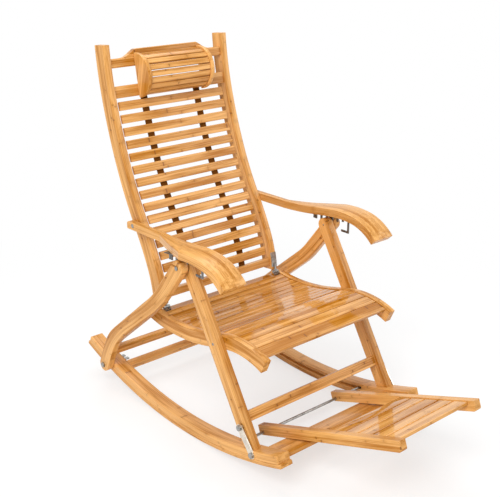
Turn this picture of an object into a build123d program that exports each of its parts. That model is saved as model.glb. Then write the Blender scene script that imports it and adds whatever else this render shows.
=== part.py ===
"""Folding bamboo rocking chair with a slatted back, adjustable arms and a sliding footrest."""

import os
from math import asin, atan2, cos, degrees, hypot, radians, sin

from build123d import *

# Driving dimensions in millimetres.
# Side profiles are (forward, up) pairs measured from the floor under the middle of the rockers.
# Widths are distances out from the centre plane of the chair.

# Clearances
running_clearance = 0.05
body_gap = 0.3
side_gap = 1.0

# Rockers
rocking_radius = 1272
sole_thickness = 12
sole_overrun = 6
beam_height = 22
rocker_width = 42
rocker_rear = 448
rocker_front = 430
rocker_bolt_reach = 336
lower_stretcher_setback = 36
lower_stretcher_depth = 26
lower_stretcher_height = 18
board_reach = 375
board_depth = 90
board_thickness = 12

# Legs
seat_half_width = 241
leg_thickness = 22
front_leg_width = 40
rear_leg_width = 42
leg_crossing = (62, 506)
front_foot = (320, 75)
rear_knee = (-40, 378)
rear_heel = (-285, 176)
rear_knee_radius = 300
rear_heel_radius = 180
leg_slot_angle = 173
leg_slot_length = 40
leg_slot_play = 1.0
bracket_thickness = 3
bracket_gap = 1.5
front_pivot_share = 0.877
front_stretcher_share = 0.84
front_stretcher_depth = 28
front_stretcher_height = 20
rear_stretcher_share = 0.48
rear_stretcher_depth = 24
rear_stretcher_height = 20
stay_width = 20
stay_thickness = 3
stay_screw_depth = 25

# Metalwork
bolt_diameter = 8
bolt_head_diameter = 16
bolt_head_height = 5
bolt_head_sides = 12
arm_pin_diameter = 6
arm_pin_head = 12
arm_pin_head_height = 3
hinge_pin_diameter = 4
hinge_knuckle_diameter = 9
hinge_leaf_thickness = 2
wing_span = 34
wing_thickness = 3
wing_height = 16

# Seat
seat_points = ((-140, 318), (-40, 306), (100, 322), (225, 350), (300, 346), (352, 330))
seat_rail_thickness = 20
seat_rail_height = 38
seat_slat_thickness = 9
seat_slat_drop = 2
seat_front_overhang = 18
wide_slat_count = 3
wide_slat_width = 36
narrow_slat_count = 13
narrow_slat_width = 22
seat_slat_gap = 3
seat_pivot_share = 0.43
rear_rail_depth = 28
rear_rail_height = 23
rear_rail_back = 130
rear_rail_top = 303
back_hinge = (-108, 316)

# Back
back_points = ((-114, 322), (-150, 450), (-232, 600), (-300, 760), (-358, 1024))
stile_thickness = 22
stile_depth = 42
back_slat_count = 15
back_slat_width = 25
back_slat_thickness = 8
back_slat_drop = 8
back_slat_end_gap = 10
strap_width = 24
strap_thickness = 3
strap_centre = 95
strap_end_gap = 0.9
bottom_rail_height = 22
bottom_rail_start = 14
head_rail_start = 600
head_rail_height = 34
crest_start = 684
crest_end_height = 26
crest_rise = 22
crest_flat_half = 108
crest_shoulder = 52
rail_depth = 20
slat_run_start = 52
slat_run_end = 590

# Headrest
headrest_half_width = 118
headrest_board_thickness = 12
headrest_height = 128
headrest_bulge = 66
headrest_slat_count = 9
headrest_slat_width = 16
headrest_slat_inset = 5
headrest_slat_spread = 152
headrest_slat_thickness = 7
headrest_seat_gap = 0.8

# Arms
arm_points = ((-245, 524), (-130, 526), (0, 531), (110, 543), (180, 541), (258, 500))
arm_thickness = 22
arm_rear_width = 20
arm_front_inner = 234
arm_front_outer = 306
arm_flare_rear = -85
arm_flare_front = 90
arm_bolt = (-218, 537)
arm_bolt_head = 4

# Notched arm brackets, reaches and heights measured from the arm pin
bracket_rear_reach = 66
bracket_front_reach = 80
bracket_bar = 6
tooth_pitch = 22
tooth_width = 7
teeth_behind = 3
teeth_ahead = 3
tooth_play = 3
tooth_rise = 0.22
tooth_low = 1.5
hook_reach = 50
hook_drop = 12
flange_width = 18
flange_thickness = 2.5

# Footrest
footrest_rod = (245, 46)
footrest_slope = 20.5
footrest_length = 505
footrest_outer = 151
footrest_rail_thickness = 22
footrest_rail_above = 20
footrest_rail_below = 8
footrest_slat_count = 5
footrest_slat_width = 40
footrest_slat_gap = 7
footrest_slat_thickness = 9
footrest_slat_drop = 2
rod_diameter = 8
rod_groove_play = 0.5
rod_groove_depth = 12
rod_end_play = 2
rod_travel_rear = 17

# Stacking outward from the centre plane
seat_rail_inner = seat_half_width - seat_rail_thickness
stile_outer = seat_rail_inner - side_gap
stile_inner = stile_outer - stile_thickness
front_leg_inner = seat_half_width + side_gap
front_leg_outer = front_leg_inner + leg_thickness
bracket_inner = front_leg_outer + bracket_gap
rocker_outer = bracket_inner + bracket_thickness + body_gap
rocker_inner = rocker_outer - rocker_width
rear_leg_inner = rocker_outer + side_gap
rear_leg_outer = rear_leg_inner + leg_thickness
arm_rear_inner = stile_outer + side_gap
footrest_inner = footrest_outer - footrest_rail_thickness

# Heights and reaches that follow from the rocking arc
beam_bottom_radius = rocking_radius - sole_thickness
beam_top_radius = beam_bottom_radius - beam_height
beam_middle_radius = (beam_bottom_radius + beam_top_radius) / 2
lower_stretcher_reach = rocker_bolt_reach - lower_stretcher_setback


def on_arc(radius, reach):
    """Point (forward, up) at one reach on an arc about the rocking centre."""
    return (reach, rocking_radius - radius * cos(asin(reach / radius)))


def between(start, end, share):
    """Point (forward, up) at a share of the way from one point to another."""
    return (start[0] + share * (end[0] - start[0]), start[1] + share * (end[1] - start[1]))


rear_pivot = on_arc(beam_middle_radius, -rocker_bolt_reach)
stay_foot = on_arc(beam_middle_radius, rocker_bolt_reach)
front_pivot = between(leg_crossing, front_foot, front_pivot_share)
seat_pivot = between(leg_crossing, front_foot, seat_pivot_share)
front_leg_lean = degrees(atan2(front_foot[1] - leg_crossing[1], front_foot[0] - leg_crossing[0]))

# Side curves of the seat rails, the back stiles and the undersides of the arms
seat_line = Spline(*seat_points)
back_line = Spline(*back_points)
arm_line = Spline(*arm_points)


def side(width):
    """Side plane on the right half: local x runs forward, local y up, and extrusion runs outward."""
    return Plane(origin=(-width, 0, 0), x_dir=(0, -1, 0), z_dir=(-1, 0, 0))


def station(curve, distance, depth):
    """Place on a side curve: local Y runs back along the curve, and depth is measured to its right."""
    point = curve.position_at(distance, position_mode=PositionMode.LENGTH)
    run = curve.tangent_at(distance, position_mode=PositionMode.LENGTH)
    turn = degrees(atan2(-run.Y, run.X))
    return Location((0, -(point.X + run.Y * depth), point.Y - run.X * depth), (turn, 0, 0))


def offset_points(curve, depth, start, end):
    """Points at a steady depth to the right of a side curve, over a stretch of its length."""
    steps = 12
    points = []
    for step in range(steps + 1):
        place = station(curve, start + (end - start) * step / steps, depth).position
        points.append((-place.Y, place.Z))
    return points


def band(curve, near, far, start, end):
    """Face between two depths to the right of a side curve, its long edges drawn as chains of arcs."""
    first = offset_points(curve, near, start, end)
    second = offset_points(curve, far, start, end)
    with BuildSketch() as face:
        with BuildLine():
            for points in (first, second):
                for number in range(2, len(points), 2):
                    ThreePointArc(points[number - 2], points[number - 1], points[number])
            Line(first[0], second[0])
            Line(first[-1], second[-1])
        make_face()
    return face.sketch


def arc_band(inner, outer, rear, front):
    """Face between two radii about the rocking centre, from a rear angle to a front angle."""
    with BuildSketch() as face:
        with BuildLine():
            low = CenterArc((0, rocking_radius), outer, rear - 90, front - rear)
            high = CenterArc((0, rocking_radius), inner, rear - 90, front - rear)
            Line(low @ 0, high @ 0)
            Line(low @ 1, high @ 1)
        make_face()
    return face.sketch


def rod(start, end, centre, diameter, mode=Mode.ADD):
    """Round bar along X on the right half, between two distances from the centre plane."""
    with Locations((-(start + end) / 2, -centre[0], centre[1])):
        Cylinder(diameter / 2, end - start, rotation=(0, 90, 0), mode=mode)


def bolt_head(start, end, centre, diameter):
    """Many-sided bolt head on the right half, between two distances from the centre plane."""
    with BuildSketch(side(start)) as face:
        with Locations(centre):
            RegularPolygon(diameter / 2, bolt_head_sides)
    extrude(face.sketch, amount=end - start)


def bar(half_length, centre, depth, height, slope=0):
    """Straight bar across the chair, its depth running forward at a slope."""
    with Locations(Location((0, -centre[0], centre[1]), (-slope, 0, 0))):
        Box(2 * half_length, depth, height)


def strip(start, end, width):
    """Round-ended strip between two points of a side sketch."""
    run = (end[0] - start[0], end[1] - start[1])
    with Locations(between(start, end, 0.5)):
        SlotCenterToCenter(hypot(*run), width, rotation=degrees(atan2(run[1], run[0])))


def arc_angle(reach):
    """Angle forward of straight down, about the rocking centre, of a reach along the beam."""
    return degrees(asin(reach / beam_middle_radius))


def save(piece, name):
    """Label a finished piece and write it."""
    piece.part.label = name
    export_step(piece.part, f"parts/{name}.step")


def save_pair(piece, name):
    """Write a right-hand piece and its mirror image on the left."""
    with BuildPart() as other:
        mirror(piece.part, about=Plane.YZ)
    save(piece, f"{name}_right")
    save(other, f"{name}_left")


os.makedirs("parts", exist_ok=True)

# Rocker beams: curved bars with a groove in the inner face where the footrest rod slides
rod_radius = rocking_radius - footrest_rod[1]
rod_angle = degrees(atan2(footrest_rod[0], rod_radius))
rod_path_radius = (footrest_rod[0] ** 2 + rod_radius**2) ** 0.5
groove_half = rod_diameter / 2 + rod_groove_play
beam_face = arc_band(beam_top_radius, beam_bottom_radius, arc_angle(-rocker_rear), arc_angle(rocker_front))
groove_face = arc_band(
    rod_path_radius - groove_half, rod_path_radius + groove_half, rod_angle - rod_travel_rear, rod_angle + 0.4
)
with BuildPart() as rocker:
    with BuildSketch(side(rocker_inner)):
        add(beam_face)
    extrude(amount=rocker_width)
    with BuildSketch(side(rocker_inner)):
        add(groove_face)
    extrude(amount=rod_groove_depth, mode=Mode.SUBTRACT)
    rod(rocker_inner, rocker_outer, rear_pivot, bolt_diameter, Mode.SUBTRACT)
    rod(rocker_outer - stay_screw_depth, rocker_outer, stay_foot, bolt_diameter, Mode.SUBTRACT)
save_pair(rocker, "rocker")

# Soles laminated under the beams, a little longer at both ends
sole_face = arc_band(
    beam_bottom_radius,
    rocking_radius,
    arc_angle(-rocker_rear - sole_overrun),
    arc_angle(rocker_front + sole_overrun),
)
with BuildPart() as sole:
    with BuildSketch(side(rocker_inner)):
        add(sole_face)
    extrude(amount=rocker_width)
save_pair(sole, "rocker_sole")

# Cross pieces that join the two rockers
with BuildPart() as lower_stretcher:
    centre = on_arc(beam_middle_radius, -lower_stretcher_reach)
    bar(rocker_inner, centre, lower_stretcher_depth, lower_stretcher_height, arc_angle(-lower_stretcher_reach))
save(lower_stretcher, "rocker_rear_stretcher")

with BuildPart() as cross_board:
    centre = on_arc(beam_bottom_radius - board_thickness / 2, board_reach)
    bar(rocker_inner, centre, board_depth, board_thickness, arc_angle(board_reach))
save(cross_board, "rocker_front_board")

# Steel stays that carry the front leg pivots
with BuildPart() as stay:
    with BuildSketch(side(rocker_outer)):
        strip(stay_foot, front_pivot, stay_width)
    extrude(amount=stay_thickness)
    rod(rocker_outer, rocker_outer + stay_thickness, stay_foot, bolt_diameter, Mode.SUBTRACT)
    rod(rocker_outer, rocker_outer + stay_thickness, front_pivot, bolt_diameter, Mode.SUBTRACT)
save_pair(stay, "front_stay")

# Bolts of the base: the rear leg pivots, the stay feet and the front leg pivots
pivot_hole = bolt_diameter + 2 * running_clearance
front_pivot_depth = leg_thickness * 0.8
with BuildPart() as base_bolt:
    rod(rocker_inner, rear_leg_outer + body_gap, rear_pivot, bolt_diameter)
    rod(rocker_outer - stay_screw_depth, rocker_outer + stay_thickness, stay_foot, bolt_diameter)
    rod(front_leg_outer - front_pivot_depth, rocker_outer + stay_thickness, front_pivot, bolt_diameter)
    leg_face = rear_leg_outer + body_gap
    stay_face = rocker_outer + stay_thickness
    bolt_head(leg_face, leg_face + bolt_head_height, rear_pivot, bolt_head_diameter)
    bolt_head(stay_face, stay_face + bolt_head_height, stay_foot, bolt_head_diameter)
    bolt_head(stay_face, stay_face + bolt_head_height, front_pivot, bolt_head_diameter)
    bolt_head(front_leg_outer + body_gap, rocker_outer, front_pivot, bolt_head_diameter)
    mirror(about=Plane.YZ)
save(base_bolt, "base_bolts")

# Wing nuts on the inner faces of the rockers
with BuildPart() as wing_nut:
    with BuildSketch(side(rocker_inner - bolt_head_height)):
        with Locations(rear_pivot):
            RegularPolygon(bolt_head_diameter / 2, 6)
    extrude(amount=bolt_head_height)
    with BuildSketch(Plane(origin=(-rocker_inner + bolt_head_height, -rear_pivot[0], rear_pivot[1]))) as wings:
        with Locations((wing_height / 2 - 1, 0)):
            Rectangle(wing_height - 2, wing_span)
            Rectangle(wing_height, bolt_diameter, mode=Mode.SUBTRACT)
        fillet(wings.vertices().group_by(Axis.X)[-1], wing_thickness)
    extrude(amount=wing_thickness / 2, both=True)
    mirror(about=Plane.YZ)
save(wing_nut, "wing_nuts")

# Rear legs: curved legs from the rocker bolts up to the arms, with an open slot for the arm pin
with BuildPart() as rear_leg:
    with BuildSketch(side(rear_leg_inner)):
        with BuildLine(mode=Mode.PRIVATE) as leg_run:
            FilletPolyline(
                leg_crossing,
                rear_knee,
                rear_heel,
                rear_pivot,
                radius=[rear_knee_radius, rear_heel_radius],
            )
        SlotArc(leg_run.wire(), rear_leg_width)
        with Locations(leg_crossing):
            Circle((arm_pin_diameter + leg_slot_play) / 2, mode=Mode.SUBTRACT)
        slot_end = (
            leg_crossing[0] + leg_slot_length * cos(radians(leg_slot_angle)),
            leg_crossing[1] + leg_slot_length * sin(radians(leg_slot_angle)),
        )
        with Locations(between(leg_crossing, slot_end, 0.5)):
            Rectangle(
                leg_slot_length,
                arm_pin_diameter + leg_slot_play,
                rotation=leg_slot_angle,
                mode=Mode.SUBTRACT,
            )
    extrude(amount=leg_thickness)
    rod(rear_leg_inner, rear_leg_outer, rear_pivot, pivot_hole, Mode.SUBTRACT)
save_pair(rear_leg, "rear_leg")

with BuildPart() as rear_stretcher:
    bar(
        rear_leg_inner,
        between(rear_pivot, rear_heel, rear_stretcher_share),
        rear_stretcher_depth,
        rear_stretcher_height,
        degrees(atan2(rear_heel[1] - rear_pivot[1], rear_heel[0] - rear_pivot[0])),
    )
save(rear_stretcher, "rear_leg_stretcher")

# Front legs: straight legs that stand on the rockers
with BuildPart() as front_leg:
    with BuildSketch(side(front_leg_inner)):
        strip(leg_crossing, front_foot, front_leg_width)
        with Locations((0, rocking_radius)):
            Circle(beam_top_radius - body_gap, mode=Mode.INTERSECT)
    extrude(amount=leg_thickness)
    rod(front_leg_outer - front_pivot_depth - body_gap, front_leg_outer, front_pivot, pivot_hole, Mode.SUBTRACT)
    rod(front_leg_inner, front_leg_outer, seat_pivot, pivot_hole, Mode.SUBTRACT)
    rod(front_leg_inner, front_leg_outer, leg_crossing, arm_pin_diameter, Mode.SUBTRACT)
save_pair(front_leg, "front_leg")

with BuildPart() as front_stretcher:
    bar(
        front_leg_inner,
        between(leg_crossing, front_foot, front_stretcher_share),
        front_stretcher_depth,
        front_stretcher_height,
        front_leg_lean,
    )
save(front_stretcher, "front_leg_stretcher")

# Arm pins: pressed into the front legs, they carry the notched brackets
with BuildPart() as arm_pin:
    rod(front_leg_inner, leg_face, leg_crossing, arm_pin_diameter)
    bolt_head(leg_face, leg_face + arm_pin_head_height, leg_crossing, arm_pin_head)
    mirror(about=Plane.YZ)
save(arm_pin, "arm_pins")

# Seat rails: dished side rails with the hole for the seat bolt
seat_rail_face = band(seat_line, 0, seat_rail_height, 0, seat_line.length)
with BuildPart() as seat_rail:
    with BuildSketch(side(seat_rail_inner)):
        add(seat_rail_face)
    extrude(amount=seat_rail_thickness)
    rod(seat_rail_inner, seat_half_width, seat_pivot, bolt_diameter, Mode.SUBTRACT)
save_pair(seat_rail, "seat_rail")

# Seat slats, set a little below the rail tops: wide ones in front, narrow ones behind
slat_depth = seat_slat_drop + seat_slat_thickness / 2
reached = seat_line.length - seat_front_overhang
with BuildPart() as wide_slats:
    for _ in range(wide_slat_count):
        with Locations(station(seat_line, reached - wide_slat_width / 2, slat_depth)):
            Box(2 * seat_rail_inner, wide_slat_width, seat_slat_thickness)
        reached -= wide_slat_width + seat_slat_gap
save(wide_slats, "seat_front_slats")

with BuildPart() as narrow_slats:
    for _ in range(narrow_slat_count):
        with Locations(station(seat_line, reached - narrow_slat_width / 2, slat_depth)):
            Box(2 * seat_rail_inner, narrow_slat_width, seat_slat_thickness)
        reached -= narrow_slat_width + seat_slat_gap
save(narrow_slats, "seat_slats")

with BuildPart() as seat_rear_rail:
    bar(
        seat_rail_inner,
        (rear_rail_depth / 2 - rear_rail_back, rear_rail_top - rear_rail_height / 2),
        rear_rail_depth,
        rear_rail_height,
    )
save(seat_rear_rail, "seat_rear_rail")

# Seat bolts: their heads lie inside the rails and their shanks turn in the front legs
with BuildPart() as seat_bolt:
    rod(seat_rail_inner, front_leg_outer, seat_pivot, bolt_diameter)
    bolt_head(seat_rail_inner - bolt_head_height, seat_rail_inner, seat_pivot, arm_pin_head)
    mirror(about=Plane.YZ)
save(seat_bolt, "seat_bolts")

# Butt hinges between seat and back: the seat leaves hold two knuckles each, the back leaves one
leaf_start = stile_inner + side_gap
leaf_end = stile_outer - side_gap
knuckle_length = (leaf_end - leaf_start) / 3
rear_rail_front = rear_rail_depth - rear_rail_back
leaf_top = back_hinge[1] - hinge_knuckle_diameter / 2
hinge_bore = hinge_pin_diameter + 2 * running_clearance
with BuildPart() as seat_leaf:
    with BuildSketch(side(leaf_start)):
        with Locations((rear_rail_front, rear_rail_top - rear_rail_height)):
            Rectangle(
                hinge_leaf_thickness,
                leaf_top - rear_rail_top + rear_rail_height,
                align=(Align.MIN, Align.MIN),
            )
    extrude(amount=leaf_end - leaf_start)
    for start in (leaf_start, leaf_end - knuckle_length):
        rod(start, start + knuckle_length, back_hinge, hinge_knuckle_diameter)
        with BuildSketch(side(start)):
            with Locations((rear_rail_front + hinge_leaf_thickness, leaf_top - hinge_leaf_thickness)):
                Rectangle(
                    rear_rail_front + hinge_leaf_thickness - back_hinge[0],
                    2 * hinge_leaf_thickness,
                    align=(Align.MAX, Align.MIN),
                )
        extrude(amount=knuckle_length)
    rod(leaf_start, leaf_end, back_hinge, hinge_pin_diameter, Mode.SUBTRACT)
    mirror(about=Plane.YZ)
save(seat_leaf, "seat_hinge_leaves")

with BuildPart() as hinge_pin:
    rod(leaf_start, leaf_end, back_hinge, hinge_pin_diameter)
    mirror(about=Plane.YZ)
save(hinge_pin, "hinge_pins")

leaf_face = band(
    back_line,
    body_gap,
    body_gap + hinge_leaf_thickness,
    hinge_knuckle_diameter,
    6 * hinge_knuckle_diameter,
)
leaf_foot = station(back_line, 2 * hinge_knuckle_diameter, 1.5 * hinge_leaf_thickness).position
with BuildPart() as back_leaf:
    with BuildSketch(side(leaf_start)):
        add(leaf_face)
    extrude(amount=leaf_end - leaf_start)
    with BuildSketch(side(leaf_start + knuckle_length + body_gap)):
        strip(back_hinge, (-leaf_foot.Y, leaf_foot.Z), 2 * hinge_leaf_thickness)
        with Locations(back_hinge):
            Circle(hinge_knuckle_diameter / 2)
            Circle(hinge_bore / 2, mode=Mode.SUBTRACT)
    extrude(amount=knuckle_length - 2 * body_gap)
    mirror(about=Plane.YZ)
save(back_leaf, "back_hinge_leaves")

# Back stiles: S-shaped side posts with a blind hole for the arm bolt
arm_bolt_depth = 14
stile_face = band(back_line, -stile_depth, 0, 0, back_line.length)
with BuildPart() as stile:
    with BuildSketch(side(stile_inner)):
        add(stile_face)
    extrude(amount=stile_thickness)
    rod(stile_outer - arm_bolt_depth, stile_outer, arm_bolt, bolt_diameter, Mode.SUBTRACT)
save_pair(stile, "back_stile")

# Rails across the back: a bottom rail, a plain head rail and a crest rail with a raised middle
rail_front = 6
with BuildPart() as bottom_rail:
    with Locations(station(back_line, bottom_rail_start + bottom_rail_height / 2, -rail_front - rail_depth / 2)):
        Box(2 * stile_inner, bottom_rail_height, rail_depth)
save(bottom_rail, "back_bottom_rail")

with BuildPart() as head_rail:
    with Locations(station(back_line, head_rail_start + head_rail_height / 2, -rail_front - rail_depth / 2)):
        Box(2 * stile_inner, head_rail_height, rail_depth)
save(head_rail, "back_head_rail")

crest_top = crest_end_height + crest_rise
with BuildPart() as crest_rail:
    with BuildSketch(Plane(station(back_line, crest_start, -rail_front))):
        with BuildLine() as crest_edge:
            Polyline(
                (0, -crest_top),
                (crest_flat_half, -crest_top),
            )
            Spline(
                (crest_flat_half, -crest_top),
                (crest_flat_half + crest_shoulder, -crest_end_height),
                tangents=((1, 0.4), (1, 0)),
            )
            Polyline(
                (crest_flat_half + crest_shoulder, -crest_end_height),
                (stile_inner, -crest_end_height),
                (stile_inner, 0),
                (0, 0),
            )
            mirror(crest_edge.line, about=Plane.YZ)
        make_face()
    extrude(amount=rail_depth)
save(crest_rail, "back_crest_rail")

# Back slats: loose slats carried on two webbing straps between the bottom rail and the head rail
slat_pitch = (slat_run_end - slat_run_start - back_slat_width) / (back_slat_count - 1)
with BuildPart() as back_slats:
    for number in range(back_slat_count):
        distance = slat_run_start + back_slat_width / 2 + number * slat_pitch
        with Locations(station(back_line, distance, -back_slat_drop - back_slat_thickness / 2)):
            Box(2 * (stile_inner - back_slat_end_gap), back_slat_width, back_slat_thickness)
save(back_slats, "back_slats")

strap_front = back_slat_drop + back_slat_thickness + body_gap
strap_face = band(
    back_line,
    -strap_front - strap_thickness,
    -strap_front,
    bottom_rail_start + bottom_rail_height + strap_end_gap,
    head_rail_start - strap_end_gap,
)
with BuildPart() as strap:
    with BuildSketch(side(strap_centre - strap_width / 2)):
        add(strap_face)
    extrude(amount=strap_width)
save_pair(strap, "back_strap")

# Headrest: slats let in between two half-moon end boards in front of the head rail and the crest rail
headrest_low = station(back_line, head_rail_start + head_rail_height / 2, headrest_seat_gap - rail_front).position
headrest_high = station(back_line, crest_start + crest_end_height / 2, headrest_seat_gap - rail_front).position


def headrest_plane(width):
    """Side plane at the headrest: local x climbs the back and local y runs to the rear."""
    middle = (headrest_low + headrest_high) / 2
    return Plane(origin=(-width, middle.Y, middle.Z), x_dir=headrest_high - headrest_low, z_dir=(-1, 0, 0))


with BuildPart() as headrest_ends:
    with BuildSketch(headrest_plane(headrest_half_width - headrest_board_thickness)):
        Ellipse(headrest_height / 2, headrest_bulge)
        Rectangle(headrest_height, headrest_bulge, align=(Align.CENTER, Align.MAX), mode=Mode.INTERSECT)
    extrude(amount=headrest_board_thickness)
    mirror(about=Plane.YZ)
save(headrest_ends, "headrest_end_boards")

slat_inset = headrest_slat_inset + headrest_slat_thickness / 2
with BuildPart() as headrest_slats:
    with BuildSketch(headrest_plane(headrest_half_width - headrest_board_thickness)):
        for number in range(headrest_slat_count):
            turn = radians(headrest_slat_spread * (number / (headrest_slat_count - 1) - 0.5))
            ring_half = headrest_height / 2 - slat_inset
            ring_bulge = headrest_bulge - slat_inset
            slope = degrees(atan2(ring_bulge * sin(turn), ring_half * cos(turn)))
            with Locations((ring_half * sin(turn), -ring_bulge * cos(turn))):
                Rectangle(headrest_slat_width, headrest_slat_thickness, rotation=slope)
    extrude(amount=-2 * (headrest_half_width - headrest_board_thickness))
save(headrest_slats, "headrest_slats")

# Arms: bent boards, narrow at the stiles and flaring to broad rounded fronts
arm_face = band(arm_line, -arm_thickness, 0, 0, arm_line.length)
arm_rear_outer = arm_rear_inner + arm_rear_width
arm_rear_end = arm_points[0][0] - arm_thickness
arm_front_end = arm_points[-1][0] + arm_thickness
with BuildPart() as arm:
    with BuildSketch(side(arm_rear_inner)):
        add(arm_face)
    extrude(amount=arm_front_outer - arm_rear_inner)
    with BuildSketch(Plane.XY) as plan:
        with BuildLine():
            Polyline(
                (-arm_rear_inner, -arm_rear_end),
                (-arm_rear_inner, -arm_flare_rear),
                (-arm_front_inner, -arm_flare_front),
                (-arm_front_inner, -arm_front_end),
                (-arm_front_outer, -arm_front_end),
                (-arm_front_outer, -arm_flare_front),
                (-arm_rear_outer, -arm_flare_rear),
                (-arm_rear_outer, -arm_rear_end),
                close=True,
            )
        make_face()
    extrude(amount=rocking_radius, mode=Mode.INTERSECT)
    fillet(arm.edges().filter_by(Axis.X).group_by(Axis.Y)[-1], arm_thickness / 3)
    rod(arm_rear_inner, arm_rear_outer, arm_bolt, pivot_hole, Mode.SUBTRACT)
    rod(
        arm_rear_outer - arm_bolt_head - body_gap,
        arm_rear_outer,
        arm_bolt,
        arm_pin_head + 2 * body_gap,
        Mode.SUBTRACT,
    )
save_pair(arm, "arm")

# Arm bolts: fixed in the stiles, their heads sunk flush in the turning arms
with BuildPart() as arm_bolts:
    rod(stile_outer - arm_bolt_depth, arm_rear_outer - arm_bolt_head, arm_bolt, bolt_diameter)
    bolt_head(arm_rear_outer - arm_bolt_head, arm_rear_outer, arm_bolt, arm_pin_head)
    mirror(about=Plane.YZ)
save(arm_bolts, "arm_bolts")


# Notched brackets under the arms: teeth that hang over the pin, and a hook in front of it
def bracket_piece(start, end, low, high):
    """Upright rectangle between two reaches and two heights from the arm pin."""
    with Locations((leg_crossing[0] + (start + end) / 2, leg_crossing[1] + (low + high) / 2)):
        Rectangle(end - start, high - low)


over_arm = 3 * arm_thickness
under_arm = band(arm_line, 0, over_arm, 0, arm_line.length)
top_bar = band(arm_line, 0, bracket_bar, 0, arm_line.length)
flange_face = band(arm_line, 0, flange_thickness, 0, arm_line.length)
with BuildPart() as bracket:
    with BuildSketch(side(bracket_inner)):
        bracket_piece(-bracket_rear_reach, bracket_front_reach, -over_arm, over_arm)
        add(top_bar, mode=Mode.INTERSECT)
    extrude(amount=bracket_thickness)
    with BuildSketch(side(bracket_inner)):
        bracket_piece(-bracket_rear_reach, bracket_bar - bracket_rear_reach, tooth_low, over_arm)
        bracket_piece(bracket_front_reach - bracket_bar, bracket_front_reach, -hook_drop, over_arm)
        bracket_piece(hook_reach, bracket_front_reach, -hook_drop, bracket_bar - hook_drop)
        for number in range(-teeth_behind, teeth_ahead):
            middle = (number + 0.5) * tooth_pitch
            tip = max(tooth_low, arm_pin_diameter / 2 + tooth_play + tooth_rise * middle)
            bracket_piece(middle - tooth_width / 2, middle + tooth_width / 2, tip, over_arm)
        add(under_arm, mode=Mode.INTERSECT)
    extrude(amount=bracket_thickness)
    with BuildSketch(side(bracket_inner)):
        bracket_piece(-bracket_rear_reach, bracket_front_reach, -over_arm, over_arm)
        add(flange_face, mode=Mode.INTERSECT)
    extrude(amount=flange_width)
save_pair(bracket, "arm_bracket")

# Footrest: two rails that hang on a sliding rod, with slats across their front half


def on_footrest(along, above):
    """Point (forward, up) at a distance along the footrest and a height above the rod's axis."""
    slope = radians(footrest_slope)
    return (
        footrest_rod[0] + along * cos(slope) - above * sin(slope),
        footrest_rod[1] + along * sin(slope) + above * cos(slope),
    )


footrest_tail = 2 * rod_diameter
rail_height = footrest_rail_above + footrest_rail_below
with BuildPart() as footrest_rail:
    with BuildSketch(side(footrest_inner)):
        with Locations(
            on_footrest((footrest_length - footrest_tail) / 2, (footrest_rail_above - footrest_rail_below) / 2)
        ):
            Rectangle(footrest_length + footrest_tail, rail_height, rotation=footrest_slope)
    extrude(amount=footrest_rail_thickness)
    fillet(footrest_rail.edges().filter_by(Axis.X).group_by(Axis.Y)[0], rail_height / 4)
    rod(footrest_inner, footrest_outer, footrest_rod, rod_diameter + 2 * running_clearance, Mode.SUBTRACT)
save_pair(footrest_rail, "footrest_rail")

footrest_slat_level = footrest_rail_above - footrest_slat_drop - footrest_slat_thickness / 2
footrest_slat_pitch = footrest_slat_width + footrest_slat_gap
with BuildPart() as footrest_slats:
    for number in range(footrest_slat_count):
        along = footrest_length - footrest_slat_width - footrest_slat_pitch * number
        bar(
            footrest_inner,
            on_footrest(along, footrest_slat_level),
            footrest_slat_width,
            footrest_slat_thickness,
            footrest_slope,
        )
save(footrest_slats, "footrest_slats")

cross_bar_along = footrest_length - footrest_slat_width - footrest_slat_pitch * (footrest_slat_count - 0.5)
with BuildPart() as footrest_bar:
    bar(footrest_inner, on_footrest(cross_bar_along, 0), rail_height / 2, rail_height / 2, footrest_slope)
save(footrest_bar, "footrest_cross_bar")

with BuildPart() as slide_rod:
    rod_reach = rocker_inner + rod_groove_depth - rod_end_play
    rod(-rod_reach, rod_reach, footrest_rod, rod_diameter)
save(slide_rod, "footrest_rod")
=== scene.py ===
"""Looks of the folding bamboo rocking chair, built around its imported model."""

from math import cos, radians, sin

import bpy
from mathutils import Matrix, Vector


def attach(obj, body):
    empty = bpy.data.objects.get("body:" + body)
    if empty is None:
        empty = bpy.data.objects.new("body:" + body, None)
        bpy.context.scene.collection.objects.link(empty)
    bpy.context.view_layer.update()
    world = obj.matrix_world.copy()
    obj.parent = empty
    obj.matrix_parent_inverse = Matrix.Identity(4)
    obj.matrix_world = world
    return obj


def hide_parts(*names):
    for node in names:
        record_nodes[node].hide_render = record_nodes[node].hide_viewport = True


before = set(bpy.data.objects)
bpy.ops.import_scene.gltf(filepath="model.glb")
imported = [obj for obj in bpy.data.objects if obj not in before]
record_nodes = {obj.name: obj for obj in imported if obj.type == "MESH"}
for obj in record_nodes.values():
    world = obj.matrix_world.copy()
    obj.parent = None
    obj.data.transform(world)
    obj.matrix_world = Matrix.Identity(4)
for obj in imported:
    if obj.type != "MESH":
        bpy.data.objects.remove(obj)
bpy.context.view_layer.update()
bpy.ops.object.select_all(action="DESELECT")

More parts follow.
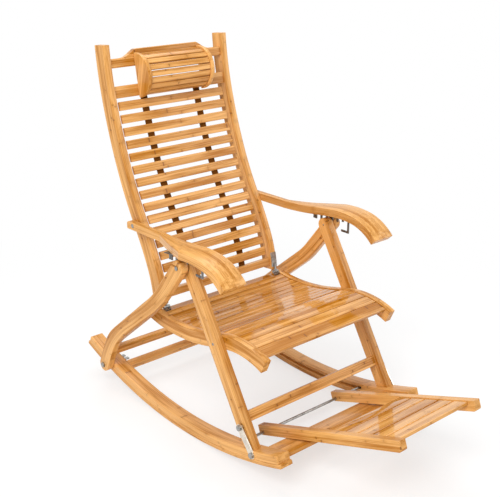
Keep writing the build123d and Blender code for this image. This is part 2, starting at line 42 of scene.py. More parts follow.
# Rockers: two curved beams of laminated bamboo with a thinner sole glued under each.
# The strips run round the rocking arc, so the grain follows the curve from end to end.
ROCKING_RADIUS = 1.272
ROCKER_EDGE = 0.0022
BAMBOO_PALE = (0.810, 0.430, 0.135, 1)
BAMBOO_DEEP = (0.410, 0.140, 0.001, 1)
KNOT_TONE = (0.180, 0.054, 0.006, 1)
FIBRE_STRETCH = 9.0
FIBRE_FINENESS = 620.0
FIBRE_SHIFT = 7.0
FIBRE_DETAIL = 4.0
FIBRE_RANGE = (0.38, 0.68)
DRIFT_STRETCH = 5.0
DRIFT_FINENESS = 34.0
DRIFT_RANGE = (0.35, 0.7)
KNOT_RING = (0.0008, 0.0034)
KNOT_HALO = (0.002, 0.016)
KNOT_LUCK = (0.25, 0.9)
KNOT_STRENGTH = (0.25, 0.75)
SEAM_EDGE = (0.455, 0.5)
SEAM_STRENGTH = 0.22
BASE_TONE = -0.15
STRIP_TONE = 0.52
FIBRE_TONE = 0.42
DRIFT_TONE = 0.34
HALO_TONE = 0.12
GLOSS_RANGE = (0.3, 0.75)
GLOSS_SPREAD = 0.14
RING_RELIEF = 0.9
FIBRE_RELIEF = 0.5
SEAM_RELIEF = 0.6
GRAIN_RELIEF = 0.00025
GRAIN_RELIEF_STRENGTH = 0.5
LACQUER_ROUGHNESS = 0.07
MESH_JOIN = 0.00002
FLAT_ANGLE = radians(0.3)
SHARP_ANGLE = radians(40)


class Recipe:
    """Node tree of one finish, with short calls for the nodes that it strings together."""

    def __init__(self, name):
        self.finish = bpy.data.materials.new(name)
        self.finish.use_nodes = True
        self.nodes = self.finish.node_tree.nodes
        self.links = self.finish.node_tree.links
        self.shader = self.nodes["Principled BSDF"]
        place = self.nodes.new("ShaderNodeTexCoord").outputs["Object"]
        split = self.nodes.new("ShaderNodeSeparateXYZ")
        self.links.new(place, split.inputs[0])
        self.x, self.y, self.z = split.outputs

    def put(self, socket, value):
        """Plug an output into a socket, or set a plain value on it."""
        if isinstance(value, bpy.types.NodeSocket):
            self.links.new(value, socket)
        else:
            socket.default_value = value

    def math(self, operation, first, second=0.0, third=0.0):
        node = self.nodes.new("ShaderNodeMath")
        node.operation = operation
        for socket, value in zip(node.inputs, (first, second, third)):
            self.put(socket, value)
        return node.outputs[0]

    def blend(self, amount, first, second):
        node = self.nodes.new("ShaderNodeMix")
        node.data_type = "RGBA"
        self.put(node.inputs["Factor"], amount)
        self.put(node.inputs["A"], first)
        self.put(node.inputs["B"], second)
        return node.outputs["Result"]

    def vector(self, x, y, z):
        node = self.nodes.new("ShaderNodeCombineXYZ")
        for socket, value in zip(node.inputs, (x, y, z)):
            self.put(socket, value)
        return node.outputs[0]

    def noise(self, place, scale, detail=2.0):
        node = self.nodes.new("ShaderNodeTexNoise")
        self.put(node.inputs["Vector"], place)
        self.put(node.inputs["Scale"], scale)
        self.put(node.inputs["Detail"], detail)
        return node.outputs["Fac"]

    def grain(self, along, across, depth, stretch, fineness, shift=0.0, detail=2.0):
        """Noise that is drawn out along a piece and fine across it."""
        return self.noise(
            self.vector(
                self.math("MULTIPLY_ADD", along, stretch, shift),
                self.math("MULTIPLY", across, fineness),
                self.math("MULTIPLY", depth, fineness),
            ),
            1.0,
            detail,
        )

    def chance(self, place):
        node = self.nodes.new("ShaderNodeTexWhiteNoise")
        self.put(node.inputs["Vector"], place)
        return node.outputs["Value"]

    def ramp(self, value, low, high, start=0.0, end=1.0):
        node = self.nodes.new("ShaderNodeMapRange")
        node.interpolation_type = "SMOOTHSTEP"
        for socket, number in zip(node.inputs, (value, low, high, start, end)):
            self.put(socket, number)
        return node.outputs[0]

    def bump(self, height, distance, strength=1.0):
        node = self.nodes.new("ShaderNodeBump")
        node.inputs["Distance"].default_value = distance
        node.inputs["Strength"].default_value = strength
        self.put(node.inputs["Height"], height)
        self.put(self.shader.inputs["Normal"], node.outputs["Normal"])

    def curve(self, value, points):
        """Smooth graph through points, given in real units."""
        starts, ends = [p[0] for p in points], [p[1] for p in points]
        low, span = min(starts), max(starts) - min(starts)
        base, rise = min(ends), max(ends) - min(ends)
        node = self.nodes.new("ShaderNodeFloatCurve")
        graph = node.mapping.curves[0]
        while len(graph.points) < len(points):
            graph.points.new(0.5, 0.5)
        for handle, (start, end) in zip(graph.points, sorted(points)):
            handle.location = ((start - low) / span, (end - base) / rise)
        node.mapping.update()
        self.put(node.inputs["Value"], self.math("MULTIPLY_ADD", value, 1 / span, -low / span))
        return self.math("MULTIPLY_ADD", node.outputs[0], rise, base)


def bamboo(
    name,
    lay,
    strip_width=0.0062,
    strip_depth=0.021,
    knot_spacing=0.29,
    seed=1.0,
    warmth=0.0,
    gloss=0.30,
    lacquer=0.22,
    shine=0.20,
):
    """Laminated bamboo: strips of differing tone, fine fibres and a dark ring at each culm node."""
    mix = Recipe(name)
    along, across, depth = lay(mix)
    strip = mix.math("MULTIPLY", across, 1 / strip_width)
    layer = mix.math("MULTIPLY", depth, 1 / strip_depth)
    luck = mix.chance(mix.vector(mix.math("FLOOR", strip), mix.math("FLOOR", layer), seed))
    shift = mix.math("MULTIPLY", luck, FIBRE_SHIFT)
    fibre = mix.grain(along, across, depth, FIBRE_STRETCH, FIBRE_FINENESS, shift, FIBRE_DETAIL)
    drift = mix.grain(along, across, depth, DRIFT_STRETCH, DRIFT_FINENESS, seed)
    turn = mix.math("FRACT", mix.math("MULTIPLY_ADD", along, 1 / knot_spacing, luck))
    off_ring = mix.math("ABSOLUTE", mix.math("SUBTRACT", turn, 0.5))
    off_ring = mix.math("MULTIPLY", off_ring, knot_spacing)
    ring = mix.ramp(off_ring, *KNOT_RING, 1.0, 0.0)
    halo = mix.ramp(off_ring, *KNOT_HALO, 1.0, 0.0)
    off_seam = mix.math("ABSOLUTE", mix.math("SUBTRACT", mix.math("FRACT", strip), 0.5))
    seam = mix.ramp(off_seam, *SEAM_EDGE)
    tone = mix.math("MULTIPLY_ADD", luck, STRIP_TONE, BASE_TONE)
    tone = mix.math("MULTIPLY_ADD", mix.ramp(fibre, *FIBRE_RANGE), FIBRE_TONE, tone)
    tone = mix.math("MULTIPLY_ADD", mix.ramp(drift, *DRIFT_RANGE), DRIFT_TONE, tone)
    tone = mix.math("ADD", tone, warmth)
    tone = mix.math("MULTIPLY_ADD", halo, HALO_TONE, tone)
    body = mix.blend(mix.ramp(tone, 0.0, 1.0), BAMBOO_PALE, BAMBOO_DEEP)
    mark = mix.math("MULTIPLY", ring, mix.ramp(luck, *KNOT_LUCK, *KNOT_STRENGTH))
    mark = mix.math("MAXIMUM", mark, mix.math("MULTIPLY", seam, SEAM_STRENGTH))
    relief = mix.math("MULTIPLY", fibre, FIBRE_RELIEF)
    relief = mix.math("MULTIPLY_ADD", ring, RING_RELIEF, relief)
    relief = mix.math("SUBTRACT", relief, mix.math("MULTIPLY", seam, SEAM_RELIEF))
    mix.bump(relief, GRAIN_RELIEF, GRAIN_RELIEF_STRENGTH)
    sockets = mix.shader.inputs
    mix.put(sockets["Base Color"], mix.blend(mark, body, KNOT_TONE))
    mix.put(sockets["Roughness"], mix.ramp(fibre, *GLOSS_RANGE, gloss, gloss + GLOSS_SPREAD))
    mix.put(sockets["Coat Weight"], lacquer)
    mix.put(sockets["Coat Roughness"], LACQUER_ROUGHNESS)
    mix.put(sockets["Specular IOR Level"], shine)
    return mix.finish


def dress(finish, edge, *names):
    """Give CAD nodes their finish, and round their sharp edges a little as sanding does."""
    for name in names:
        piece = record_nodes[name]
        piece.data.materials.clear()
        piece.data.materials.append(finish)
        join = piece.modifiers.new("joined_faces", "WELD")
        join.merge_threshold = MESH_JOIN
        flats = piece.modifiers.new("whole_flats", "DECIMATE")
        flats.decimate_type = "DISSOLVE"
        flats.angle_limit = FLAT_ANGLE
        if edge:
            sanding = piece.modifiers.new("sanded_edges", "BEVEL")
            sanding.width = edge
            sanding.segments = 2
            sanding.limit_method = "ANGLE"
            sanding.angle_limit = SHARP_ANGLE


def round_the_arc(mix):
    """Grain round the rocking arc: along it, out from its centre, and across the chair."""
    drop = mix.math("SUBTRACT", ROCKING_RADIUS, mix.z)
    angle = mix.math("ARCTAN2", mix.y, drop)
    square = mix.math("MULTIPLY_ADD", mix.y, mix.y, mix.math("MULTIPLY", drop, drop))
    reach = mix.math("SQRT", square)
    return mix.math("MULTIPLY", angle, ROCKING_RADIUS), reach, mix.x


rocker_bamboo = bamboo(
    "rocker_bamboo", round_the_arc, strip_width=0.0075, strip_depth=0.022, seed=2.0
)
sole_bamboo = bamboo(
    "sole_bamboo", round_the_arc, strip_width=0.006, strip_depth=0.022, seed=5.0, warmth=0.1
)
dress(rocker_bamboo, ROCKER_EDGE, "rocker_right", "rocker_left")
dress(sole_bamboo, ROCKER_EDGE, "rocker_sole_right", "rocker_sole_left")

# Cross pieces: a broad front board and a plain rear stretcher, glued between the rockers.
# The stretchers of the legs are the same bars, and all their grain runs straight across the chair.
BOARD_EDGE = 0.0018
STRETCHER_EDGE = 0.002


def across_the_chair(mix):
    """Grain from side to side, with the strips stacked along the slope of the piece."""
    return mix.x, mix.y, mix.z


def across_upright(mix):
    """Grain from side to side on a piece that stands, with its strips stacked upwards."""
    return mix.x, mix.z, mix.y


board_bamboo = bamboo("board_bamboo", across_the_chair, strip_width=0.0105, seed=3.0, warmth=0.05)
stretcher_bamboo = bamboo("stretcher_bamboo", across_upright, strip_width=0.0068, seed=8.0)
dress(board_bamboo, BOARD_EDGE, "rocker_front_board")
dress(
    stretcher_bamboo,
    STRETCHER_EDGE,
    "rocker_rear_stretcher",
    "rear_leg_stretcher",
    "front_leg_stretcher",
)

# Legs: curved rear legs and straight front legs, sawn from laminated boards.
# The strips follow the run of each leg from the rocker up to the arm pin.
REAR_LEG_RUN = (
    (-0.336, 0.069),
    (-0.300, 0.145),
    (-0.255, 0.201),
    (-0.160, 0.279),
    (-0.040, 0.378),
    (0.062, 0.506),
)
FRONT_LEG_SLOPE = radians(-59.1)
LEG_EDGE = 0.0025


def along_a_line(slope):
    """Grain along a straight run in the side view, at a slope up from the front."""

    def lay(mix):
        rise = mix.math("MULTIPLY", mix.z, sin(slope))
        along = mix.math("MULTIPLY_ADD", mix.y, -cos(slope), rise)
        lift = mix.math("MULTIPLY", mix.z, cos(slope))
        across = mix.math("MULTIPLY_ADD", mix.y, sin(slope), lift)
        return along, across, mix.x

    return lay


def along_a_profile(points, upright):
    """Grain along a curved run in the side view, with the strips at a steady distance from it."""

    def lay(mix):
        forward = mix.math("MULTIPLY", mix.y, -1.0)
        if upright:
            line = mix.curve(mix.z, [(point[1], point[0]) for point in points])
            return mix.z, mix.math("SUBTRACT", forward, line), mix.x
        line = mix.curve(forward, points)
        return forward, mix.math("SUBTRACT", mix.z, line), mix.x

    return lay


up_the_rear_leg = along_a_profile(REAR_LEG_RUN, upright=True)
up_the_front_leg = along_a_line(FRONT_LEG_SLOPE)
rear_leg_bamboo = bamboo("rear_leg_bamboo", up_the_rear_leg, strip_width=0.0085, seed=4.0)
front_leg_bamboo = bamboo("front_leg_bamboo", up_the_front_leg, strip_width=0.0068, seed=6.0)
dress(rear_leg_bamboo, LEG_EDGE, "rear_leg_right", "rear_leg_left")
dress(front_leg_bamboo, LEG_EDGE, "front_leg_right", "front_leg_left")

# Steelwork: zinc-plated bolts, wing nuts, pins, stays, hinges and the footrest rod.
# It carries fine drawing lines and dull patches, and the flat stays are the brightest of it.
STEEL_BRIGHT = (0.42, 0.415, 0.40, 1)
STEEL_DULL = (0.23, 0.225, 0.215, 1)
STAY_BRIGHT = (0.82, 0.76, 0.66, 1)
STAY_DULL = (0.62, 0.57, 0.49, 1)
LINE_STRETCH = 60.0
LINE_FINENESS = 900.0
LINE_DETAIL = 3.0
LINE_RANGE = (0.3, 0.7)
LINE_RELIEF = 0.00008
LINE_RELIEF_STRENGTH = 0.35
PATCH_SCALE = 90.0
PATCH_RANGE = (0.35, 0.75)
STEEL_ROUGHNESS = (0.24, 0.42)
BOLT_EDGE = 0.0006
AS_CUT = 0.0


def plated_steel(name, bright, dull):
    """Plated steel with fine lines across the chair and dull patches."""
    mix = Recipe(name)
    lines = mix.grain(mix.x, mix.y, mix.z, LINE_STRETCH, LINE_FINENESS, detail=LINE_DETAIL)
    patches = mix.noise(mix.vector(mix.x, mix.y, mix.z), PATCH_SCALE, LINE_DETAIL)
    colour = mix.blend(mix.ramp(patches, *PATCH_RANGE), bright, dull)
    mix.put(mix.shader.inputs["Base Color"], colour)
    mix.put(mix.shader.inputs["Roughness"], mix.ramp(lines, *LINE_RANGE, *STEEL_ROUGHNESS))
    mix.put(mix.shader.inputs["Metallic"], 1.0)
    mix.bump(lines, LINE_RELIEF, LINE_RELIEF_STRENGTH)
    return mix.finish


bolt_steel = plated_steel("bolt_steel", STEEL_BRIGHT, STEEL_DULL)
dress(bolt_steel, BOLT_EDGE, "base_bolts", "wing_nuts", "seat_bolts", "arm_bolts", "arm_pins")
dress(bolt_steel, AS_CUT, "seat_hinge_leaves", "hinge_pins", "back_hinge_leaves", "footrest_rod")
stay_steel = plated_steel("stay_steel", STAY_BRIGHT, STAY_DULL)
dress(stay_steel, AS_CUT, "front_stay_right", "front_stay_left")

# Hinge screws: two hold each back leaf to its stile, and two hold each seat leaf to the rear rail.
# They are small plated screws with a low head and a dished middle for the driver.
SCREW_RADIUS = 0.0023
SCREW_HEIGHT = 0.0009
SCREW_SIDES = 16
SCREW_RIM = SCREW_RADIUS * 0.45
SCREW_DISH = SCREW_HEIGHT * 0.5
SCREW_ROLL = SCREW_HEIGHT * 0.25
HINGE_CENTRE = 0.209
BACK_LEAF_SCREWS = (0.350, 0.367)
SEAT_LEAF_SCREW_HEIGHT = 0.289
SEAT_LEAF_SCREW_STEP = 0.0055
IN_FRONT = -1


def screw_head():
    """One low screw head about the origin, its top pressed in."""
    bpy.ops.object.select_all(action="DESELECT")
    bpy.ops.mesh.primitive_cylinder_add(
        vertices=SCREW_SIDES, radius=SCREW_RADIUS, depth=SCREW_HEIGHT
    )
    head = bpy.context.active_object
    bpy.ops.object.mode_set(mode="EDIT")
    bpy.ops.mesh.select_mode(type="FACE")
    bpy.ops.mesh.select_all(action="DESELECT")
    bpy.ops.object.mode_set(mode="OBJECT")
    for face in head.data.polygons:
        face.select = face.normal.z > 0.9
    bpy.ops.object.mode_set(mode="EDIT")
    bpy.ops.mesh.inset(thickness=SCREW_RIM)
    bpy.ops.transform.translate(value=(0, 0, -SCREW_DISH))
    bpy.ops.object.mode_set(mode="OBJECT")
    rim = head.modifiers.new("rolled_rim", "BEVEL")
    rim.width = SCREW_ROLL
    rim.segments = 2
    bpy.ops.object.modifier_apply(modifier=rim.name)
    return head


def found(piece, start, way):
    """Place where a line from start first meets a piece, and the way that it faces there."""
    bpy.context.view_layer.update()
    hit, place, facing, _ = piece.ray_cast(Vector(start), Vector(way))
    assert hit, (piece.name, start)
    return place, facing


def set_fasteners(name, pattern, seats, body):
    """Copies of one fastener, each square on its seat, joined as one piece that rides on a body."""
    copies = []
    for place, facing in seats:
        mesh = pattern.data.copy()
        turn = facing.to_track_quat("Z", "X").to_matrix().to_4x4()
        mesh.transform(Matrix.Translation(place) @ turn)
        copies.append(bpy.data.objects.new(name, mesh))
        bpy.context.scene.collection.objects.link(copies[-1])
    bpy.ops.object.select_all(action="DESELECT")
    for copy in copies:
        copy.select_set(True)
    group = copies[0]
    bpy.context.view_layer.objects.active = group
    bpy.ops.object.join()
    bpy.ops.object.shade_smooth_by_angle(angle=SHARP_ANGLE)
    group.data.materials.append(bolt_steel)
    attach(group, body)


screw = screw_head()
back_leaves = record_nodes["back_hinge_leaves"]
seat_leaves = record_nodes["seat_hinge_leaves"]
sides = (-HINGE_CENTRE, HINGE_CENTRE)
back_seats = [
    found(back_leaves, (x, IN_FRONT, z), (0, 1, 0)) for x in sides for z in BACK_LEAF_SCREWS
]
seat_seats = [
    found(seat_leaves, (x + step, IN_FRONT, SEAT_LEAF_SCREW_HEIGHT), (0, 1, 0))
    for x in sides
    for step in (-SEAT_LEAF_SCREW_STEP, SEAT_LEAF_SCREW_STEP)
]
set_fasteners("back_leaf_screws", screw, back_seats, "back")
set_fasteners("seat_leaf_screws", screw, seat_seats, "seat")

# Seat: two dished rails with slats let in between them, wide ones in front and narrow ones behind.
# The slats were split from different culms, so their tones differ a little.
SEAT_RUN = (
    (-0.140, 0.318),
    (-0.040, 0.306),
    (0.100, 0.322),
    (0.225, 0.350),
    (0.300, 0.346),
    (0.352, 0.330),
)
SEAT_RAIL_EDGE = 0.003
SLAT_EDGE = 0.0016

along_the_seat = along_a_profile(SEAT_RUN, upright=False)
seat_rail_bamboo = bamboo("seat_rail_bamboo", along_the_seat, strip_width=0.0075, seed=7.0)
seat_slat_bamboo = bamboo(
    "seat_slat_bamboo",
    across_the_chair,
    strip_width=0.0125,
    seed=9.0,
    warmth=0.14,
    gloss=0.16,
    lacquer=1.0,
    shine=0.0,
)
dress(seat_rail_bamboo, SEAT_RAIL_EDGE, "seat_rail_right", "seat_rail_left")
dress(seat_slat_bamboo, SLAT_EDGE, "seat_slats", "seat_front_slats", "seat_rear_rail")

# Back: S-shaped stiles, three rails and loose slats that hang on two webbing straps.
# The stiles are sawn from laminated boards, and the slats are thin split strips.
BACK_RUN = (
    (-0.114, 0.322),
    (-0.150, 0.450),
    (-0.232, 0.600),
    (-0.300, 0.760),
    (-0.358, 1.024),
)
STILE_EDGE = 0.003

up_the_back = along_a_profile(BACK_RUN, upright=True)
stile_bamboo = bamboo(
    "stile_bamboo", up_the_back, strip_width=0.0085, strip_depth=0.0075, seed=11.0
)
back_slat_bamboo = bamboo(
    "back_slat_bamboo", across_upright, strip_width=0.0118, seed=12.0, warmth=0.08
)
dress(stile_bamboo, STILE_EDGE, "back_stile_right", "back_stile_left")
dress(back_slat_bamboo, SLAT_EDGE, "back_slats")
dress(back_slat_bamboo, SLAT_EDGE, "back_bottom_rail", "back_head_rail", "back_crest_rail")

# Headrest: two half-moon end boards with narrow slats let in between them.
# The boards stand proud of the slats, and their grain climbs the back.
HEADREST_SLOPE = radians(78)
HEADREST_BOARD_EDGE = 0.0022
HEADREST_SLAT_EDGE = 0.0014

up_the_headrest = along_a_line(HEADREST_SLOPE)
headrest_board_bamboo = bamboo(
    "headrest_board_bamboo", up_the_headrest, strip_width=0.011, seed=14.0
)
headrest_slat_bamboo = bamboo(
    "headrest_slat_bamboo", across_upright, strip_width=0.009, seed=15.0
)
dress(headrest_board_bamboo, HEADREST_BOARD_EDGE, "headrest_end_boards")
dress(headrest_slat_bamboo, HEADREST_SLAT_EDGE, "headrest_slats")

# Arms: bent boards that are narrow at the stiles and broad in front, on dark notched brackets.
# Their strips follow the droop of the arm.
ARM_RUN = (
    (-0.245, 0.524),
    (-0.130, 0.526),
    (0.000, 0.531),
    (0.110, 0.543),
    (0.180, 0.541),
    (0.258, 0.500),
)
ARM_FLARE = (-0.085, 0.090)
ARM_INNER = (0.221, 0.234)
ARM_WIDTH = (0.020, 0.072)
ARM_EDGE = 0.0042
BRACKET_BRIGHT = (0.22, 0.21, 0.20, 1)
BRACKET_DULL = (0.10, 0.095, 0.09, 1)


def along_the_arm(mix):
    """Grain along the arm, its strips side by side and fanning out where the arm grows broad."""
    along, rise, side = along_a_profile(ARM_RUN, upright=False)(mix)
    flare_length = ARM_FLARE[1] - ARM_FLARE[0]
    flare = mix.math("MULTIPLY_ADD", along, 1 / flare_length, -ARM_FLARE[0] / flare_length)
    flare = mix.math("MINIMUM", mix.math("MAXIMUM", flare, 0.0), 1.0)
    inner = mix.math("MULTIPLY_ADD", flare, ARM_INNER[1] - ARM_INNER[0], ARM_INNER[0])
    width = mix.math("MULTIPLY_ADD", flare, ARM_WIDTH[1] - ARM_WIDTH[0], ARM_WIDTH[0])
    share = mix.math("DIVIDE", mix.math("SUBTRACT", mix.math("ABSOLUTE", side), inner), width)
    return along, mix.math("MULTIPLY", share, ARM_WIDTH[1]), rise


arm_bamboo = bamboo(
    "arm_bamboo",
    along_the_arm,
    strip_width=0.0105,
    strip_depth=0.05,
    knot_spacing=0.46,
    seed=17.0,
)
bracket_metal = plated_steel("bracket_metal", BRACKET_BRIGHT, BRACKET_DULL)
dress(arm_bamboo, ARM_EDGE, "arm_right", "arm_left")
dress(bracket_metal, AS_CUT, "arm_bracket_right", "arm_bracket_left")

# Bracket screws: two go up through the flange of each bracket into the arm.
# They are the same screws as on the hinges.
BRACKET_SCREW_SIDE = 0.2765
BRACKET_SCREW_REACHES = (-0.122, -0.030)
BELOW_THE_ARM = 0.3

for hand, side in (("right", -BRACKET_SCREW_SIDE), ("left", BRACKET_SCREW_SIDE)):
    flange = record_nodes[f"arm_bracket_{hand}"]
    flange_seats = [
        found(flange, (side, y, BELOW_THE_ARM), (0, 0, 1)) for y in BRACKET_SCREW_REACHES
    ]
    set_fasteners(f"bracket_screws_{hand}", screw, flange_seats, f"arm_{hand}")
bpy.data.objects.remove(screw)

# Footrest: two rails that hang on the sliding rod, with slats and a cross bar between them.
# It is the same split bamboo as the seat.
FOOTREST_SLOPE = radians(20.5)
FOOTREST_RAIL_EDGE = 0.0022

along_the_footrest = along_a_line(FOOTREST_SLOPE)
footrest_rail_bamboo = bamboo(
    "footrest_rail_bamboo", along_the_footrest, strip_width=0.0072, seed=19.0
)
footrest_slat_bamboo = bamboo(
    "footrest_slat_bamboo",
    across_the_chair,
    strip_width=0.012,
    seed=20.0,
    gloss=0.16,
    lacquer=0.9,
    shine=0.0,
)
dress(footrest_rail_bamboo, FOOTREST_RAIL_EDGE, "footrest_rail_right", "footrest_rail_left")
dress(footrest_slat_bamboo, SLAT_EDGE, "footrest_slats", "footrest_cross_bar")

# Straps: two dark brown woven straps behind the loose slats, from the bottom to the head rail.
# Each is one length of flat webbing, pulled tight along the curve of the back,
# and held to every slat by a wire staple.
STRAP_CENTRE = 0.095
STRAP_WIDTH = 0.023
STRAP_THICKNESS = 0.0016
STRAP_RUN_STEPS = 24
STRAP_COLUMNS = 4
WEAVE_PITCH = 0.0016
WEAVE_TURN = 6.283 / WEAVE_PITCH
WEAVE_RELIEF = 0.0004
WEAVE_RELIEF_STRENGTH = 0.8
FUZZ_SCALE = 700.0
FUZZ_DETAIL = 3.0
FUZZ_RANGE = (0.3, 0.7)
WEAVE_LIFT = 0.7
FUZZ_LIFT = 0.4
PAINTED_SHEEN_RANGE = (0.2, 0.95)
STRAP_ROUGHNESS = (0.72, 0.9)
STRAP_SHINE = 0.10
SLAT_COUNT = 15
STRAP_ENDS_PAST_SLATS = (0.026, 0.020)
STAPLE_CROWN = 0.011
STAPLE_WIRE = 0.0011
BEHIND = 1
STRAP_BROWN = (0.100, 0.026, 0.001, 1)
# Paler brown painted on the crowns of the weave as their sheen.
STRAP_PAINTED_SHEEN = (0.190, 0.066, 0.006, 1)


def woven_strap(name):
    """Brown plain-weave webbing: ribs across the strap, fine yarns along it, and a painted sheen
    that makes the raised crowns paler.
    """
    mix = Recipe(name)
    rib = mix.math("SINE", mix.math("MULTIPLY", mix.z, WEAVE_TURN))
    yarn = mix.math("SINE", mix.math("MULTIPLY", mix.x, WEAVE_TURN))
    weave = mix.math("MULTIPLY_ADD", mix.math("MULTIPLY", rib, yarn), 0.5, 0.5)
    fuzz = mix.noise(mix.vector(mix.x, mix.y, mix.z), FUZZ_SCALE, FUZZ_DETAIL)
    lift = mix.math("MULTIPLY_ADD", weave, WEAVE_LIFT, mix.math("MULTIPLY", fuzz, FUZZ_LIFT))
    # Painted sheen: where the weave and fuzz rise, the brown is blended towards a paler tone, as if
    # light caught the crowns.
    colour = mix.blend(mix.ramp(lift, *PAINTED_SHEEN_RANGE), STRAP_BROWN, STRAP_PAINTED_SHEEN)
    mix.put(mix.shader.inputs["Base Color"], colour)
    mix.put(mix.shader.inputs["Roughness"], mix.ramp(fuzz, *FUZZ_RANGE, *STRAP_ROUGHNESS))
    mix.put(mix.shader.inputs["Specular IOR Level"], STRAP_SHINE)
    mix.bump(lift, WEAVE_RELIEF, WEAVE_RELIEF_STRENGTH)
    return mix.finish


def strap_run(node):
    """Points up the front face of a strap's solid, in order of height."""
    mesh = record_nodes[node].data
    front = {}
    for face in mesh.polygons:
        if face.normal.y < -0.5 and abs(face.normal.x) < 0.5:
            for number in face.vertices:
                spot = mesh.vertices[number].co
                front[round(spot.z, 5)] = Vector((0, spot.y, spot.z))
    return [front[height] for height in sorted(front)]


def point_at(points, distance):
    """Place and direction at a distance along a run of points."""
    for start, end in zip(points, points[1:]):
        step = (end - start).length
        if distance <= step:
            return start.lerp(end, distance / step), (end - start).normalized()
        distance -= step
    return points[-1], (points[-1] - points[-2]).normalized()


def webbing(name, centre, points, length):
    """One strap: a flat grid whose rows are laid along the back in turn, then thickened."""
    stations = []
    for step in range(STRAP_RUN_STEPS + 1):
        place, run = point_at(points, length * step / STRAP_RUN_STEPS)
        stations.append(place + STRAP_THICKNESS / 2 * Vector((0, run.z, -run.y)))
    bpy.ops.object.select_all(action="DESELECT")
    bpy.ops.mesh.primitive_grid_add(
        x_subdivisions=STRAP_COLUMNS, y_subdivisions=STRAP_RUN_STEPS, size=1
    )
    strap = bpy.context.active_object
    strap.name = name
    for vertex in strap.data.vertices:
        station = stations[round((vertex.co.y + 0.5) * STRAP_RUN_STEPS)]
        vertex.co = (centre + vertex.co.x * STRAP_WIDTH, station.y, station.z)
    body = strap.modifiers.new("thickness", "SOLIDIFY")
    body.thickness = STRAP_THICKNESS
    body.offset = 0
    smooth = strap.modifiers.new("smooth_run", "SUBSURF")
    smooth.levels = smooth.render_levels = 1
    smooth.subdivision_type = "SIMPLE"
    for tool in ("thickness", "smooth_run"):
        bpy.ops.object.modifier_apply(modifier=tool)
    bpy.ops.object.shade_smooth_by_angle(angle=SHARP_ANGLE)
    strap.data.materials.append(strap_weave)
    return strap


def staple():
    """One wire staple about the origin, its crown along Y and its ends bent down."""
    bpy.ops.object.select_all(action="DESELECT")
    bpy.ops.mesh.primitive_cube_add(size=1)
    wire = bpy.context.active_object
    bpy.ops.object.mode_set(mode="EDIT")
    bpy.ops.mesh.select_all(action="SELECT")
    bpy.ops.mesh.subdivide(number_cuts=2)
    bpy.ops.object.mode_set(mode="OBJECT")
    for vertex in wire.data.vertices:
        x, y, z = vertex.co
        bend = (2 * y) ** 4 * STAPLE_WIRE
        vertex.co = (x * STAPLE_WIRE, y * STAPLE_CROWN, z * STAPLE_WIRE - bend)
    return wire


strap_weave = woven_strap("strap_weave")
staple_seats = []
for hand, centre in (("right", -STRAP_CENTRE), ("left", STRAP_CENTRE)):
    run_points = strap_run(f"back_strap_{hand}")
    strap_length = sum((end - start).length for start, end in zip(run_points, run_points[1:]))
    strap = webbing(f"webbing_{hand}", centre, run_points, strap_length)
    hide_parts(f"back_strap_{hand}")
    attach(strap, "back")
    low_end, high_end = STRAP_ENDS_PAST_SLATS
    slat_step = (strap_length - low_end - high_end) / (SLAT_COUNT - 1)
    for slat in range(SLAT_COUNT):
        place, _ = point_at(run_points, low_end + slat * slat_step)
        staple_seats.append(found(strap, (centre, BEHIND, place.z), (0, -1, 0)))
wire_staple = staple()
set_fasteners("strap_staples", wire_staple, staple_seats, "back")
bpy.data.objects.remove(wire_staple)

# Studio: a plain white floor, a large soft key light, two soft fills and the camera of the photo.
# The floor is stage and not part of the chair.
CAMERA_PLACE = (-1.576, -1.855, 1.381)
CAMERA_TURN = radians(40.55)
CAMERA_DIP = radians(20.46)
FOCAL_PIXELS = 913.2
PICTURE_WIDTH = 500
SENSOR_WIDTH = 36
VIEW_END = 200
AIR_LIGHT = 0.44
FLOOR_RADIUS = 60
FLOOR_SIDES = 96
FLOOR_DROP = 0.0005
FLOOR_TONE = (0.93, 0.93, 0.93, 1)
FLOOR_ROUGHNESS = 0.85
FLOOR_WHITE_SHARE = 0.62
FLOOR_FADE_START = 0.55
FLOOR_FADE_END = 1.7


def seen_directly(tree):
    """One for what the camera sees itself, by reflection or through glass, else nought."""
    rays = tree.nodes.new("ShaderNodeLightPath").outputs
    seen = rays["Is Camera Ray"]
    for kind in ("Is Glossy Ray", "Is Transmission Ray"):
        either = tree.nodes.new("ShaderNodeMath")
        either.operation = "MAXIMUM"
        tree.links.new(seen, either.inputs[0])
        tree.links.new(rays[kind], either.inputs[1])
        seen = either.outputs[0]
    return seen


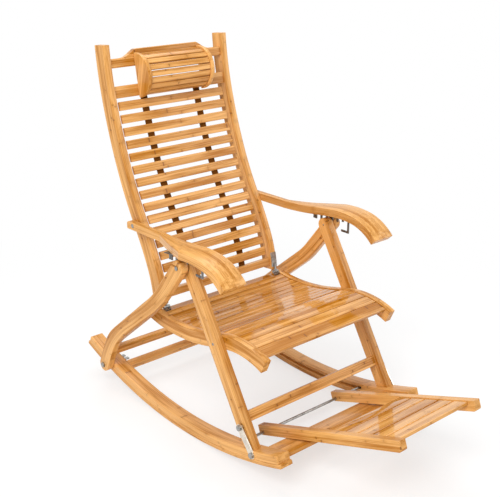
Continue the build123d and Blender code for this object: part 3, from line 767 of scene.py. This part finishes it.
bpy.ops.object.select_all(action="DESELECT")
bpy.ops.mesh.primitive_circle_add(
    vertices=FLOOR_SIDES, radius=FLOOR_RADIUS, fill_type="NGON", location=(0, 0, -FLOOR_DROP)
)
floor = bpy.context.active_object
floor.name = "floor"
paint = Recipe("floor_white")
paint.put(paint.shader.inputs["Base Color"], FLOOR_TONE)
paint.put(paint.shader.inputs["Roughness"], FLOOR_ROUGHNESS)
square = paint.math("MULTIPLY_ADD", paint.x, paint.x, paint.math("POWER", paint.y, 2.0))
far = paint.ramp(paint.math("SQRT", square), FLOOR_FADE_START, FLOOR_FADE_END)
white = paint.math("MULTIPLY_ADD", far, 1 - FLOOR_WHITE_SHARE, FLOOR_WHITE_SHARE)
seen_white = paint.math("MULTIPLY", seen_directly(paint.finish.node_tree), white)
fade = paint.nodes.new("ShaderNodeMixShader")
glow = paint.nodes.new("ShaderNodeEmission")
for socket, value in zip(fade.inputs, (seen_white, paint.shader.outputs[0], glow.outputs[0])):
    paint.put(socket, value)
paint.put(paint.nodes["Material Output"].inputs["Surface"], fade.outputs[0])
floor.data.materials.append(paint.finish)

world = bpy.data.worlds.new("studio_air")
bpy.context.scene.world = world
world.use_nodes = True
air = world.node_tree
backdrop = air.nodes["Background"]
backdrop.inputs["Color"].default_value = (1, 1, 1, 1)
air_level = air.nodes.new("ShaderNodeMapRange")
air_level.inputs["To Min"].default_value = AIR_LIGHT
air.links.new(seen_directly(air), air_level.inputs["Value"])
air.links.new(air_level.outputs[0], backdrop.inputs["Strength"])


def soft_light(name, place, target, size, power):
    """Square soft box that faces a target."""
    lamp = bpy.data.lights.new(name, "AREA")
    lamp.size = size
    lamp.energy = power
    stand = bpy.data.objects.new(name, lamp)
    stand.location = place
    stand.rotation_euler = (Vector(target) - Vector(place)).to_track_quat("-Z", "Y").to_euler()
    bpy.context.scene.collection.objects.link(stand)


soft_light("key_light", place=(-2.6, -1.6, 3.0), target=(0, 0, 0.4), size=2.2, power=122)
soft_light("fill_light", place=(2.6, -1.8, 2.0), target=(0, 0, 0.5), size=2.0, power=26)
soft_light("top_light", place=(0.4, 1.2, 3.4), target=(0, 0, 0.4), size=2.4, power=44)

lens = bpy.data.cameras.new("photo_camera")
lens.sensor_fit = "HORIZONTAL"
lens.sensor_width = SENSOR_WIDTH
lens.lens = FOCAL_PIXELS / PICTURE_WIDTH * SENSOR_WIDTH
lens.clip_end = VIEW_END
camera = bpy.data.objects.new("photo_camera", lens)
camera.location = CAMERA_PLACE
level = cos(CAMERA_DIP)
sight = Vector((sin(CAMERA_TURN) * level, cos(CAMERA_TURN) * level, -sin(CAMERA_DIP)))
camera.rotation_euler = sight.to_track_quat("-Z", "Y").to_euler()
bpy.context.scene.collection.objects.link(camera)
bpy.context.scene.camera = camera
bpy.context.scene.view_settings.view_transform = "Standard"
